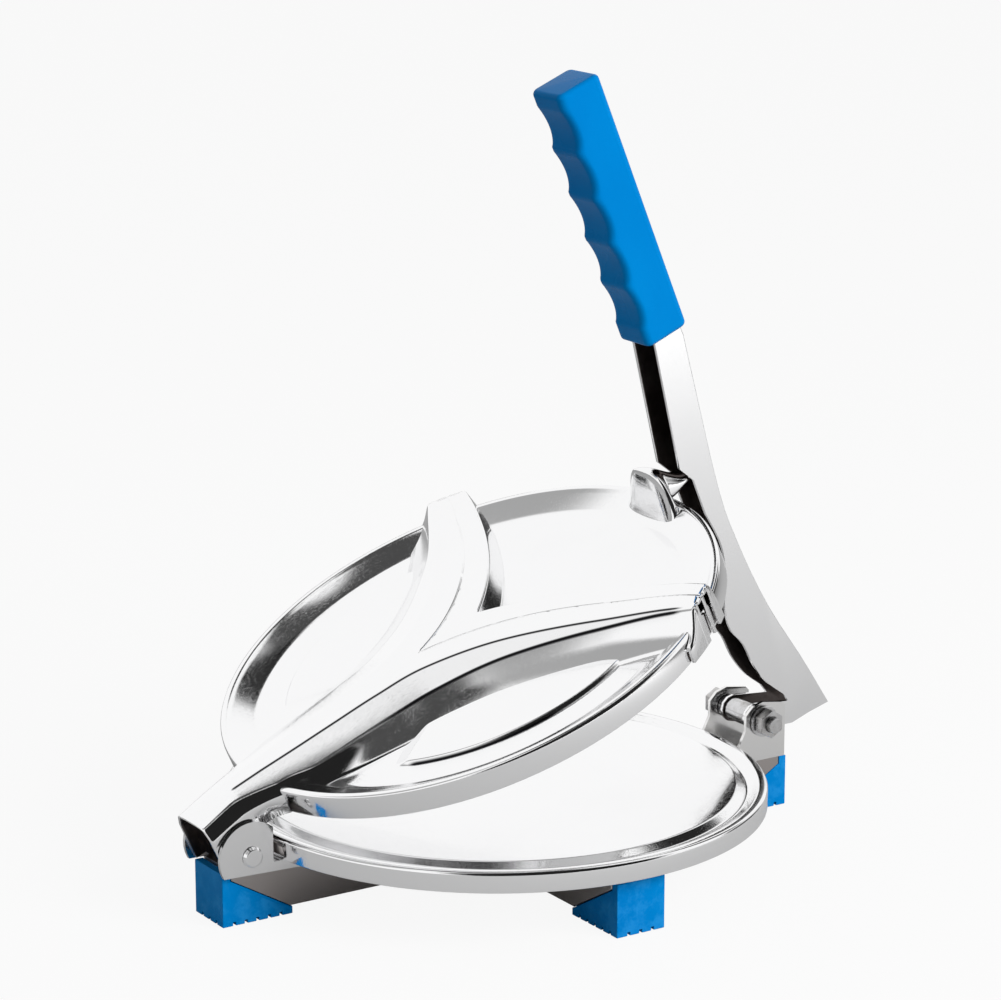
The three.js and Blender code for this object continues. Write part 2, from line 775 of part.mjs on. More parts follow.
function leverNut() {
  const seat = earOuter + gap + pivot.washer + gap;
  const hole = bar(pivot.x, pivot.z, pivot.boltRadius + pivot.bore, -overrun, overrun);
  return hexBar(pivot.nutAcross, -seat - pivot.nutHeight, -seat).subtract(hole);
}

// Lever: a channel folded from one sheet, open towards the plates, cut to a claw at the bolt
const leverOuterShares = [[-0.2365, 1.007], [-0.131, 0.631], [-0.065, 0.468], [0.033, 0.29],
  [0.148, 0.128], [0.232, 0.0015]];
const leverInnerShares = [[-0.162, 0.55], [-0.1135, 0.466], [-0.098, 0.385], [-0.1, 0.31],
  [-0.083, 0.245], [-0.04, 0.197], [-0.008, 0.138], [0.034, 0.087], [0.086, 0.048]];
const leverStepShares = [[-0.2, 0.64], [-0.242, 0.672]];
const leverFootShares = [[0.17, -0.016], [0.12, -0.034]];
const leverNotchShares = [0.104, 0.026];
const gripBaseShares = [-0.346, 0.985]; // its lower corner on the finger side

function leverPoint([x, z]) {
  return new THREE.Vector2(pivot.x + x * lever.rise, pivot.z + z * lever.rise);
}

const leanAngle = THREE.MathUtils.degToRad(grip.leanDeg);
const gripUp = new THREE.Vector2(-Math.sin(leanAngle), Math.cos(leanAngle));
const gripOut = new THREE.Vector2(Math.cos(leanAngle), Math.sin(leanAngle));
const gripBase = leverPoint(gripBaseShares);

function gripPoint(out, up) {
  return gripBase.clone().addScaledVector(gripOut, out).addScaledVector(gripUp, up);
}

function leverOutline() {
  const outer = leverOuterShares.map(leverPoint);
  const shape = new THREE.Shape();
  const start = gripPoint(grip.tangBack, -gap);
  const corner = gripPoint(lever.frontInset, -gap);
  shape.moveTo(corner.x, corner.y);
  shape.lineTo(start.x, start.y);
  shape.lineTo(outer[0].x, outer[0].y);
  shape.splineThru(outer.slice(1));
  for (const share of leverFootShares) {
    const low = leverPoint(share);
    shape.lineTo(low.x, low.y);
  }
  shape.absarc(pivot.x, pivot.z, lever.lobe, -Math.PI / 2, -Math.PI * 1.5, true);
  const inner = leverInnerShares.map(leverPoint).reverse();
  const notch = leverPoint(leverNotchShares);
  shape.lineTo(notch.x, notch.y);
  shape.lineTo(inner[0].x, inner[0].y);
  shape.splineThru(inner.slice(1));
  for (const share of leverStepShares) {
    const step = leverPoint(share);
    shape.lineTo(step.x, step.y);
  }
  return shape;
}

// The room inside the channel: everything on the inner side of the web
function leverHollow() {
  const shape = new THREE.Shape();
  const outer = leverOuterShares.map(leverPoint);
  const top = gripPoint(grip.tangBack - lever.sheet, overrun);
  const knee = outer[0].clone().addScaledVector(gripOut, -lever.sheet);
  shape.moveTo(top.x, top.y);
  shape.lineTo(knee.x, knee.y);
  const inside = outer.slice(1).map((point) => point.clone().add(
    new THREE.Vector2(-lever.sheet, -lever.sheet / 3)));
  shape.splineThru(inside);
  const last = inside[inside.length - 1];
  shape.lineTo(last.x + lever.sheet, last.y - overrun);
  shape.lineTo(last.x - 2 * overrun, last.y - overrun);
  shape.lineTo(top.x - 2 * overrun, top.y);
  return shape;
}

function tangOutline(low, high, clear) {
  const [back, front] = [grip.tangBack + clear, grip.tangBack - lever.sheet - clear];
  return new THREE.Shape([gripPoint(back, low), gripPoint(back, high),
    gripPoint(front, high), gripPoint(front, low)]);
}

function leverChannel() {
  const inner = lever.half - lever.sheet;
  const bore = bar(pivot.x, pivot.z, pivot.boltRadius + pivot.bore, -overrun, overrun);
  return slab(leverOutline(), -lever.half, lever.half, facets.edge)
    .subtract(slab(leverHollow(), -inner, inner, facets.edge))
    .add(slab(tangOutline(-lever.sheet, lever.tang, 0), -lever.tangHalf, lever.tangHalf))
    .subtract(bore);
}

// Grip: a moulded sleeve with finger grooves on the side that faces the plates
function gripOutline() {
  const shape = new THREE.Shape();
  const plain = grip.length * grip.grooveEndShare;
  const pitch = (grip.length - 2 * plain) / grip.grooves;
  const corners = [gripPoint(grip.depth, 0), gripPoint(grip.depth, grip.length)];
  const start = gripPoint(0, 0);
  shape.moveTo(start.x, start.y);
  for (const corner of corners) shape.lineTo(corner.x, corner.y);
  const crown = gripPoint(0, grip.length);
  shape.lineTo(crown.x, crown.y);
  for (let i = grip.grooves - 1; i >= 0; i -= 1) {
    const low = plain + i * pitch;
    const lip = gripPoint(0, low + pitch);
    const [edgeShare, deepShare, underShare] = grip.ridgeShares;
    const under = gripPoint(grip.grooveDepth, low + pitch * underShare);
    const deep = gripPoint(grip.grooveDepth, low + pitch * deepShare);
    const out = gripPoint(0, low + pitch * edgeShare);
    shape.lineTo(lip.x, lip.y);
    shape.bezierCurveTo(under.x, under.y, deep.x, deep.y, out.x, out.y);
  }
  return shape;
}

function handleGrip() {
  const geometry = new THREE.ExtrudeGeometry(gripOutline(), {
    depth: 2 * (grip.half - grip.edge), bevelThickness: grip.edge, bevelSize: grip.edge,
    bevelOffset: -grip.edge, bevelSegments: 1, curveSegments: facets.curve / 2,
  });
  const body = solid(geometry.rotateX(Math.PI / 2).translate(0, grip.half - grip.edge, 0));
  const wide = lever.tangHalf + gap;
  return body.subtract(slab(tangOutline(-overrun, lever.tang + gap, gap), -wide, wide));
}

// Assembly
const model = new THREE.Group();

function base() {
  const group = new THREE.Group();
  const straight = crossArm();
  const plug = footBody();
  const webHoles = rivetHoles(hingeRivetX).add(rivetHoles(leverRivetX));
  const footRoom = rivetRoom(hingeRivetX).add(rivetRoom(leverRivetX));
  group.add(piece('base_long_rail', longRail().subtract(webHoles), steel));
  group.add(piece('base_cross_arm_near', turnedTo(straight, -90, 0), steel));
  group.add(piece('base_cross_arm_far', turnedTo(straight, 90, 0), steel));
  const feet = [['lever_end', 0, leverReach], ['far', 90, crossReach],
    ['hinge_end', 180, hingeReach], ['near', -90, crossReach]];
  for (const [name, angle, reach] of feet) {
    const body = turnedTo(plug, angle, reach).subtract(footRoom);
    group.add(piece(`foot_${name}`, body, bluePlastic));
  }
  group.add(piece('bottom_plate', bottomPlate(), steel));
  group.add(piece('hinge_bracket', hingeBracket(), steel));
  ['near', 'far'].forEach((side, i) => {
    group.add(piece(`hinge_bracket_rivet_${side}`,
      rivetBody(hingeRivetX, rivetSides[i], hinge.cheekSheet), dullSteel));
    group.add(piece(`lever_bracket_rivet_${side}`,
      rivetBody(leverRivetX, rivetSides[i], bracket.sheet), dullSteel));
  });
  group.add(piece('hinge_pin', hingePin(), dullSteel));
  group.add(piece('lever_bracket', leverBracket(), steel));
  return group;
}

function boltGroup() {
  const group = new THREE.Group();
  const washerFrom = earOuter + gap;
  group.add(piece('lever_bolt', leverBolt(), dullSteel));
  group.add(piece('lever_nut', leverNut(), dullSteel));
  group.add(piece('nut_washer',
    ringBar(pivot.washerRadius, -washerFrom - pivot.washer, -washerFrom), dullSteel));
  group.add(piece('bolt_head_washer',
    ringBar(pivot.washerRadius, washerFrom, washerFrom + pivot.washer), dullSteel));
  const [flange, ear] = [lever.half + gap, bracket.innerHalf - gap];
  group.add(piece('lever_spacer_near', ringBar(pivot.bushRadius, -ear, -flange), dullSteel));
  group.add(piece('lever_spacer_far', ringBar(pivot.bushRadius, flange, ear), dullSteel));
  const inside = lever.half - lever.sheet - gap;
  group.add(piece('lever_bush', ringBar(pivot.bushRadius, -inside, inside), dullSteel));
  return group;
}

function topPlate() {
  const closed = new THREE.Group();
  closed.add(piece('top_cover', topCover(), steel));
  closed.add(piece('top_press_disc', pressDisc(), steel));
  closed.add(piece('top_nose', topNose(), steel));
  closed.position.set(-pinX, 0, -hinge.z);
  const swung = new THREE.Group();
  swung.add(closed);
  swung.rotation.y = -THREE.MathUtils.degToRad(openAngleDeg);
  swung.position.set(hinge.x, 0, hinge.z);
  return swung;
}

function leverGroup() {
  const group = new THREE.Group();
  group.add(piece('lever_channel', leverChannel(), steel));
  group.add(piece('handle_grip', handleGrip(), bluePlastic));
  return group;
}

model.add(base(), boltGroup(), topPlate(), leverGroup());
const middle = new THREE.Box3().setFromObject(model, true).getCenter(new THREE.Vector3());
model.position.x = -middle.x;
export default model;
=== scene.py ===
import json
import math

import bmesh
import bpy
from mathutils import Matrix, Vector


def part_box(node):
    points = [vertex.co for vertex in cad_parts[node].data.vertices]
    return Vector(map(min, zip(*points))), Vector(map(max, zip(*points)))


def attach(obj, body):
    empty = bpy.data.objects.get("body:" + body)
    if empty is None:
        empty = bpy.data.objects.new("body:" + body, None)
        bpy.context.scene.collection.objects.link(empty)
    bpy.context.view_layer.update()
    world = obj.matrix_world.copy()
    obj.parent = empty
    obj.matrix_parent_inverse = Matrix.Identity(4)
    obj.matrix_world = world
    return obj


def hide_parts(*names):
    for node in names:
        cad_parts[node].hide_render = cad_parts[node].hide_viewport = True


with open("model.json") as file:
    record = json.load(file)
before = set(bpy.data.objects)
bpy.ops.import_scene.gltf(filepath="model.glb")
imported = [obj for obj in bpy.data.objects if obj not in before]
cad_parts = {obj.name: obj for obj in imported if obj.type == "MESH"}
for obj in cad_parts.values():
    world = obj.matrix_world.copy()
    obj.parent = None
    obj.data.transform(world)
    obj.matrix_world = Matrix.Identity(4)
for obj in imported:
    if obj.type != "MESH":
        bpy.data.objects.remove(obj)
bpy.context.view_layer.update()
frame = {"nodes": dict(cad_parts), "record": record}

# Sizes in millimetres, with the plates' middle at x = 0, before the whole press is centred.
# A name that ends in _in runs inwards from a plate's rim, and past runs outwards.
GAP = 0.3
OPEN_DEG = 24.5
HINGE = Vector((-91.2, 0.0, 21.2))
PIVOT = Vector((93.3, 0.0, 30.2))
MERGE = 0.01
SMOOTH_DEG = 60

LOWER = dict(radius=82.5, flat=30, face_in=9.6, top=25.0, sheet=1.0, groove_in=6.9, groove=1.7,
             bead_in=2.8, skirt_bottom=18.7, corner=1.2, top_bends=(3, 0.5, 0.6, 0.6, 0.8),
             edge_bend=0.3, under_bend=0.5, steps=240)
UPPER = dict(shift=3.5, radius=79.8, sheet=1.0, skirt_bottom=27.2, rim_top=35.0, slope_top=34.2,
             slope_outer_in=3.2, slope_inner_in=10.0, rim_turn=1.1, panel=30.6, corner=1.3,
             crest=38.8, arm_rise=1.6, arm_past=1.4, flats=(20, 45), flat_bend=2, ring_bend=0.1,
             rim_bends=(1.6, 0.7, 0.5), edge_bend=0.35, under_bend=0.5, bend_steps=3, steps=360)
DISC = dict(flat=40, bottom=25.6, sheet=1.0, wall_top=32.8, corner=2.6, flat_bend=3,
            edge_bend=0.2, bend_steps=6, steps=240)
ISLAND = dict(rim_in=19.3, rise=1.2, slope=1.5, from_deg=76.0, to_deg=143.0, end_deg=6.0,
              rings=5, rings_in=6, rings_out=1)
# Painted shade at the near island's foot: its offset, half-width and the angles where it fades in and
# out
ISLAND_PAINTED_SHADE = dict(out=0.3, half=0.8, starts_deg=(94, 104), ends_deg=(141, 145))

# The deck: drops below its crest, and the half-widths of its inner edge's flank
DECK = dict(foot=8.9, flank=6.2, flank_share=0.45, shoulder_slope=0.27, inner_shoulder=2.8,
            inner_outs=(2.3, 1.5, 0.7), inside=1.2, outer_bends=(3.2, 0.9, 0.8),
            inner_bends=(1.0, 0.8, 0.7), fold_bend=0.7, level_x=-60, edge_power=6)
# Shares of an arm's reach, and places along x, over which the crest rises
ARM_RISE_SHARES, ARM_RISE_X = (0.6, 0.95), (-30, 10)
# Near and far crest of the deck: x, y, and how far out its shoulder and its foot lie
CREST_KNOTS = [(-78.2, 3.4, 8.1, 9.8), (-66.0, 4.3, 10.4, 14.0), (-52.0, 5.1, 10.6, 18.8),
               (-37.0, 6.1, 10.6, 22.4), (-20.5, 9.0, 10.3, 24.2), (0.0, 21.4, 7.4, 22.0),
               (21.1, 45.0, 3.5, 15.0), (35.8, 68.9, 1.3, 9.5), (43.0, 81.5, 1.1, 9.0)]
# Crest between the arms, as shares of the plate's radius
CREST_INNER_SHARES = [(0.077, 0.0), (0.406, 0.276), (0.596, 0.821)]
# The deck's middle line: where it parts into the arms and the point that pulls it outwards
SPINE_BEND_X, SPINE_PULL = -16.8, (20, 12)
STEM = dict(past_pin=8.8, half=9.8, crest_half=3.0, edge_half=7.5, top=35.5, bevel_drop=3.8,
            lobe=6.0, lobe_back=-4.6, bottom=19.8, rise_before=6, rise_end_x=-88.0,
            spread_x=92.0, spread_power=1.3, wall_turn_x=-84.0, bends=(0.8, 0.9, 0.8))

NOSE = dict(root_in=9.3, past=7.7, root_half=9.5, tip_half=3.8, top=46.2, tip_top=38.6,
            tip_depth=2.4, sunk=0.4, root_sunk=0.3, least=0.1, peak_share=0.32, neck_share=0.54,
            flare=3.4, flare_shares=(0.1, 0.55), flare_power=2.2, rise_power=0.62,
            side_power=0.7, columns=48, rows=64, sheet=1.2)
LEVER = dict(half=6.3, sheet=1.2, rise=126.0, bend=2.4, edge=0.25)
GRIP = dict(lean_deg=22.9, length=85.3, depth=15.8, half=8.0, grooves=5, groove=1.5,
            groove_reach=6.5, groove_powers=(0.8, 0.85), ridge_share=0.1, end_share=0.06,
            corner=2.4, least_corner=0.1, cap=1.6, around=72, rows=130, cap_rows=6)
GRIP_BASE_SHARES = (-0.346, 0.985)  # of the lever's rise, from its pivot

# How finely the folded pieces are laid
STEM_SHARE = 0.2  # of the outer columns
OUTER_COLUMNS, INNER_COLUMNS, TOP_ROWS, BEND_STEPS = 150, 70, 10, 4
# CREASE_ROWS: how many rows to either side of a crease the painted shade fades over
SHOULDER_ROW, CREST_ROW, CREASE_ROWS = 8, 13, 2.4
# Shares of the crests within which the rows meet the middle line and the arm's end
INNER_START, INNER_END, OUTER_END = (0.0, 0.4), (0.6, 1.3), (0.6, 0.996)
# Where the painted shade along the creases starts and ends, as shares of the columns
CREST_SHADE_STARTS, SHOULDER_SHADE_STARTS, CREASE_SHADE_END = (0.11, 0.125), (0.4, 0.6), (0.96, 0.985)

# For the pieces that keep the frame's form: metres and degrees
COPY_MERGE, ON_PLANE, FLAT_DEG, COPY_SMOOTH_DEG, EDGE_DEG = 1e-6, 1e-5, 1.5, 35, 32

# The photo's camera, in metres and pixels
EYE, AIM = Vector((-0.5641, -0.8759, 0.3774)), Vector((0.00289, 0.0022, 0.11178))
SENSOR_MM, FOCAL_PIXELS, PICTURE_WIDTH = 36.0, 3600.85, 1001
FLOOR_HALF, FLOOR_Z = 6.0, -0.0003

# Where the press stands in the frame
pin_low, pin_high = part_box("hinge_pin")
pin_middle = 500 * (pin_low[0] + pin_high[0])  # half of two ends, in mm
CENTRED = Matrix.Scale(0.001, 4) @ Matrix.Translation((pin_middle - HINGE.x, 0, 0))
PIN_X = HINGE.x - UPPER["shift"]
SWUNG = (CENTRED @ Matrix.Translation(HINGE) @ Matrix.Rotation(-math.radians(OPEN_DEG), 4, 'Y')
         @ Matrix.Translation((-PIN_X, 0, -HINGE.z)))
BODY_OF = {node: body for body, nodes in frame["record"]["behaviour"]["bodies"].items()
           for node in nodes}


# Small sums
def mix(a, b, share):
    return a + (b - a) * share


def eased(low, high, value):
    share = min(max((value - low) / (high - low), 0.0), 1.0)
    return share * share * (3 - 2 * share)


def curve_point(pulls, t):
    a, b, c = (Vector(p) for p in pulls)
    return a * (1 - t) ** 2 + b * 2 * t * (1 - t) + c * t * t


def curve_direction(pulls, t):
    a, b, c = (Vector(p) for p in pulls)
    return ((b - a) * (1 - t) + (c - b) * t).normalized()


def solved(low, high, value_at):
    """The place between low and high where a rising value passes zero."""
    for _ in range(40):
        middle = (low + high) / 2
        low, high = (middle, high) if value_at(middle) < 0 else (low, middle)
    return (low + high) / 2


def thread_through(points, share):
    """A smooth curve through points, at a share of its count of stretches."""
    place = share * (len(points) - 1)
    i = min(int(place), len(points) - 2)
    t = place - i
    p0, p1, p2, p3 = (points[min(max(i + k, 0), len(points) - 1)] for k in (-1, 0, 1, 2))
    return (p1 * 2 + (p2 - p0) * t + (p0 * 2 - p1 * 5 + p2 * 4 - p3) * t * t
            + (p1 * 3 - p0 - p2 * 3 + p3) * t ** 3) * 0.5


def rounded(corners, radii, steps):
    """An open line with each inner corner eased over a length on both sides."""
    line = [Vector(corners[0])]
    for before, here, after, radius in zip(corners, corners[1:], corners[2:], radii):
        before, here, after = Vector(before), Vector(here), Vector(after)
        back = min(radius, (before - here).length * 0.48)
        ahead = min(radius, (after - here).length * 0.48)
        start = here + (before - here).normalized() * back
        end = here + (after - here).normalized() * ahead
        line += [curve_point((start, here, end), k / steps) for k in range(steps + 1)]
    return line + [Vector(corners[-1])]


# Mesh making
def patch(bm, columns, rows, place):
    """A grid laid where place(u, v) says, with u and v from 0 to 1."""
    made = bmesh.ops.create_grid(bm, x_segments=columns, y_segments=rows, size=0.5)
    for vert in made["verts"]:
        vert.co = place(min(max(vert.co.x + 0.5, 0.0), 1.0), min(max(vert.co.y + 0.5, 0.0), 1.0))
    return made["verts"]


def turned(bm, profile, steps):
    verts = [bm.verts.new((r, 0, z)) for r, z in profile]
    edges = [bm.edges.new(pair) for pair in zip(verts, verts[1:])]
    bmesh.ops.spin(bm, geom=verts + edges, cent=(0, 0, 0), axis=(0, 0, 1), dvec=(0, 0, 0),
                   angle=2 * math.pi, steps=steps, use_merge=True, use_duplicate=False)


def finished(name, bm, place, body, materials, stands_for=(), sharp_deg=40, closed=True):
    bmesh.ops.remove_doubles(bm, verts=bm.verts, dist=MERGE)
    if closed:
        bmesh.ops.recalc_face_normals(bm, faces=bm.faces)
    bmesh.ops.transform(bm, matrix=place, verts=bm.verts)
    mesh = bpy.data.meshes.new(name)
    bm.to_mesh(mesh)
    bm.free()
    return as_piece(name, mesh, body, materials, stands_for, sharp_deg)


def as_piece(name, mesh, body, materials, stands_for=(), sharp_deg=40):
    for material in materials:
        mesh.materials.append(material)
    mesh.polygons.foreach_set("use_smooth", [True] * len(mesh.polygons))
    mesh.set_sharp_from_angle(angle=math.radians(sharp_deg))
    piece = bpy.data.objects.new(name, mesh)
    bpy.context.scene.collection.objects.link(piece)
    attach(piece, body)
    if stands_for:
        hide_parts(*stands_for)
    return piece


def face_up(bm, verts):
    """Turns a newly laid patch so that most of it faces up."""
    bm.normal_update()
    faces = list({face for vert in verts for face in vert.link_faces})
    if sum(face.normal.z * face.calc_area() for face in faces) < 0:
        bmesh.ops.reverse_faces(bm, faces=faces)


def give_wall(piece, thickness_mm):
    """Thickens a sheet inwards, with the second material on its inner side."""
    wall = piece.modifiers.new("wall", 'SOLIDIFY')
    wall.thickness = thickness_mm / 1000
    wall.offset = -1
    wall.use_rim = True
    wall.material_offset = 1


# Shader sums
class Value:
    def __init__(self, surface, socket):
        self.surface = surface
        self.socket = socket

    def sum(self, operation, *others):
        return self.surface.node("ShaderNodeMath", {"operation": operation},
                                 dict(enumerate((self, *others))))

    def __add__(self, other):
        return self.sum('ADD', other)

    def __mul__(self, other):
        return self.sum('MULTIPLY', other)

    def __rsub__(self, other):
        return self.surface.node("ShaderNodeMath", {"operation": 'SUBTRACT'}, {0: other, 1: self})

    __radd__ = __add__
    __rmul__ = __mul__

    def above(self, low, high):
        """Nought below low, one above high, eased between."""
        return self.surface.node("ShaderNodeMapRange", {"interpolation_type": 'SMOOTHSTEP'},
                                 {0: self, 1: low, 2: high, 3: 0.0, 4: 1.0})


class Surface:
    """A node tree with one way of adding a node."""
    def __init__(self, tree):
        self.tree = tree
        self.tree.nodes.clear()

    def node(self, kind, settings=None, values=None, output=0):
        made = self.tree.nodes.new(kind)
        for key, setting in (settings or {}).items():
            setattr(made, key, setting)
        for key, value in (values or {}).items():
            socket = made.inputs[key]
            if isinstance(value, Value):
                self.tree.links.new(value.socket, socket)
            else:
                socket.default_value = value
        return Value(self, made.outputs[output]) if made.outputs else None

    def out(self, value, index=1):
        return Value(self, value.socket.node.outputs[index])

    def place(self):
        return self.node("ShaderNodeTexCoord", output="Object")

    def noise(self, scale, detail=2.0, rough=0.5, stretch=None):
        at = self.place()
        if stretch:
            at = self.node("ShaderNodeMapping", None, {"Vector": at, "Scale": stretch})
        return self.node("ShaderNodeTexNoise", None,
                         {"Vector": at, "Scale": scale, "Detail": detail, "Roughness": rough})

    def blended(self, share, first, second):
        return Value(self, self.node("ShaderNodeMix", {"data_type": 'RGBA'}, {
            "Factor": share, 6: first, 7: second}).socket.node.outputs[2])

    def bump(self, height, distance, strength=1.0, normal=None):
        values = {"Height": height, "Distance": distance, "Strength": strength}
        if normal:
            values["Normal"] = normal
        return self.node("ShaderNodeBump", None, values)


def material(name):
    made = bpy.data.materials.new(name)
    made.use_nodes = True
    return made, Surface(made.node_tree)


def finish_with(surface, shader):
    surface.node("ShaderNodeOutputMaterial", None, {"Surface": shader})


def polished_steel(name, colour, rough, wave, with_painted_shade=False):
    """Buffed stainless sheet: a faint roll in the surface, fine scratches and dull patches;
    with_painted_shade it is darkened to near black where the 'line' attribute holds painted shade.
    """
    made, s = material(name)
    patches = s.noise(28.0, 3.0).above(0.42, 0.72)
    scratches = s.noise(900.0, 2.0, stretch=(1.0, 14.0, 1.0)).above(0.52, 0.8)
    across = s.noise(800.0, 2.0, stretch=(12.0, 1.0, 1.0)).above(0.55, 0.85)
    roughness = patches * 0.03 + scratches * 0.05 + across * 0.04 + rough
    tarnish = s.noise(9.0, 4.0, 0.6).above(0.45, 0.75) * 0.35
    base = s.blended(tarnish, colour, tuple(c * 0.93 for c in colour[:3]) + (1.0,))
    # Painted shade: where the 'line' attribute is set, the base colour goes to near black along the
    # creases and the island's edge
    if with_painted_shade:
        line = s.node("ShaderNodeAttribute", {"attribute_name": "line"}, output="Fac")
        base = s.blended(line.above(0.05, 0.75), base, (0.012, 0.012, 0.014, 1.0))
        roughness = roughness + line * 0.3
    roll = s.bump(s.noise(wave, 1.0), 0.0004, 0.25)
    grain = s.bump(scratches + across, 0.00001, 0.35, roll)
    finish_with(s, s.node("ShaderNodeBsdfPrincipled", None, {
        "Base Color": base, "Metallic": 1.0, "Roughness": roughness, "Normal": grain}))
    return made


def shade_darkened_inner_steel(name):
    """The inner side of the folded sheet: rougher than the polished side, and coloured near-black
    brown as painted shade for the hollows it lines.
    """
    made, s = material(name)
    stain = s.noise(60.0, 5.0, 0.65).above(0.35, 0.75)
    base = s.blended(stain, (0.075, 0.06, 0.055, 1.0), (0.17, 0.15, 0.145, 1.0))
    rough = s.noise(220.0, 2.0) * 0.2 + 0.28
    finish_with(s, s.node("ShaderNodeBsdfPrincipled", None, {
        "Base Color": base, "Metallic": 1.0, "Roughness": rough,
        "Normal": s.bump(s.noise(500.0, 3.0), 0.00004, 0.4)}))
    return made


def plated_fastener(name):
    made, s = material(name)
    dull = s.noise(180.0, 4.0, 0.6).above(0.4, 0.7)
    base = s.blended(dull, (0.68, 0.68, 0.69, 1.0), (0.5, 0.49, 0.48, 1.0))
    finish_with(s, s.node("ShaderNodeBsdfPrincipled", None, {
        "Base Color": base, "Metallic": 1.0, "Roughness": dull * 0.12 + 0.2,
        "Normal": s.bump(s.noise(700.0, 2.0), 0.00003, 0.35)}))
    return made


def moulded_blue(name):
    """Glossy moulded plastic with faint flow marks, fine orange peel and a lighter blue in patches on
    convex edges.
    """
    made, s = material(name)
    flow = s.noise(22.0, 3.0, 0.55, stretch=(1.0, 1.0, 0.35)).above(0.3, 0.75)
    base = s.blended(flow, (0.0, 0.145, 0.42, 1.0), (0.0, 0.175, 0.47, 1.0))
    # Convex edges, picked by pointiness, turn a lighter blue in noisy patches
    edge = s.node("ShaderNodeNewGeometry", output="Pointiness").above(0.53, 0.6)
    lighter_edge_patches = edge * s.noise(140.0, 4.0, 0.7).above(0.4, 0.65)
    base = s.blended(lighter_edge_patches * 0.5, base, (0.02, 0.24, 0.56, 1.0))
    peel = s.bump(s.noise(420.0, 2.0), 0.00006, 0.3)
    marks = s.bump(flow, 0.0002, 0.12, peel)
    finish_with(s, s.node("ShaderNodeBsdfPrincipled", None, {
        "Base Color": base, "Roughness": s.noise(60.0, 3.0) * 0.14 + 0.2,
        "Specular Tint": (0.05, 0.45, 1.0, 1.0), "Specular IOR Level": 0.05, "Normal": marks}))
    return made


# plate_steel and lever_steel carry the painted crease shade from the 'line' attribute
plate_steel = polished_steel("plate_steel", (0.93, 0.93, 0.935, 1.0), 0.045, 16.0, with_painted_shade=True)
stand_steel = polished_steel("stand_steel", (0.86, 0.855, 0.85, 1.0), 0.14, 26.0)
rail_steel = polished_steel("rail_steel", (0.48, 0.445, 0.43, 1.0), 0.3, 26.0)
lever_steel = polished_steel("lever_steel", (0.92, 0.92, 0.925, 1.0), 0.09, 20.0, with_painted_shade=True)
shade_darkened_inside = shade_darkened_inner_steel("shade_darkened_inside")
fastener = plated_fastener("fastener")
blue_plastic = moulded_blue("blue_plastic")


# Plates
def ring_profile(points, bends, steps=BEND_STEPS):
    """A plate's cut from its middle to its rim and back, with each corner eased over its bend."""
    return [(p.x, p.y) for p in rounded([Vector(p) for p in points], bends, steps)]


def bottom_plate():
    p = LOWER
    face, groove, bead = (p["radius"] - p[key] for key in ("face_in", "groove_in", "bead_in"))
    low, top, s = p["top"] - p["groove"], p["top"], p["sheet"]
    floor = groove + (bead - groove) / 4
    over = [(0, top), (p["flat"], top), (face, top), (groove, low), (floor, low), (bead, top),
            (p["radius"], top), (p["radius"], p["skirt_bottom"]),
            (p["radius"] - s, p["skirt_bottom"]), (p["radius"] - s, top - s), (bead, top - s),
            (floor, low - s), (groove, low - s), (face, top - s), (0, top - s)]
    bends = [*p["top_bends"], p["corner"]] + [p["edge_bend"]] * 2 + [p["under_bend"]] * 5
    bm = bmesh.new()
    turned(bm, ring_profile(over, bends), p["steps"])
    return finished("pressing_plate", bm, CENTRED, "stand", [plate_steel],
                    ["bottom_plate"], SMOOTH_DEG)


def press_disc():
    d = DISC
    radius = UPPER["radius"] - UPPER["sheet"] - GAP
    over = [(0, d["bottom"]), (d["flat"], d["bottom"]), (radius, d["bottom"]), (radius, d["wall_top"]),
            (radius - d["sheet"], d["wall_top"]), (radius - d["sheet"], d["bottom"] + d["sheet"]),
            (0, d["bottom"] + d["sheet"])]
    bm = bmesh.new()
    bends = [d["flat_bend"], d["corner"], d["edge_bend"], d["edge_bend"], d["corner"]]
    turned(bm, ring_profile(over, bends, d["bend_steps"]), d["steps"])
    return finished("press_pan", bm, SWUNG, "top_plate", [plate_steel],
                    ["top_press_disc"], SMOOTH_DEG)


def island_height(x, y):
    """Raised fields on the panels between the stem and the arms."""
    radius, angle = math.hypot(x, y), abs(math.degrees(math.atan2(y, x)))
    edge = UPPER["radius"] - ISLAND["rim_in"]
    across = 1 - eased(edge - ISLAND["slope"], edge, radius)
    ends = (eased(ISLAND["from_deg"] - ISLAND["end_deg"], ISLAND["from_deg"], angle)
            * (1 - eased(ISLAND["to_deg"], ISLAND["to_deg"] + ISLAND["end_deg"], angle)))
    return ISLAND["rise"] * across * ends


def island_painted_shade(x, y):
    """Painted shade: a dark line painted at the foot of the near island's edge."""
    radius, angle = math.hypot(x, y), math.degrees(math.atan2(-y, x))
    foot = UPPER["radius"] - ISLAND["rim_in"] - ISLAND_PAINTED_SHADE["out"]
    across = 1 - min(abs(radius - foot) / ISLAND_PAINTED_SHADE["half"], 1.0)
    return (across * eased(*ISLAND_PAINTED_SHADE["starts_deg"], angle)
            * (1 - eased(*ISLAND_PAINTED_SHADE["ends_deg"], angle)))


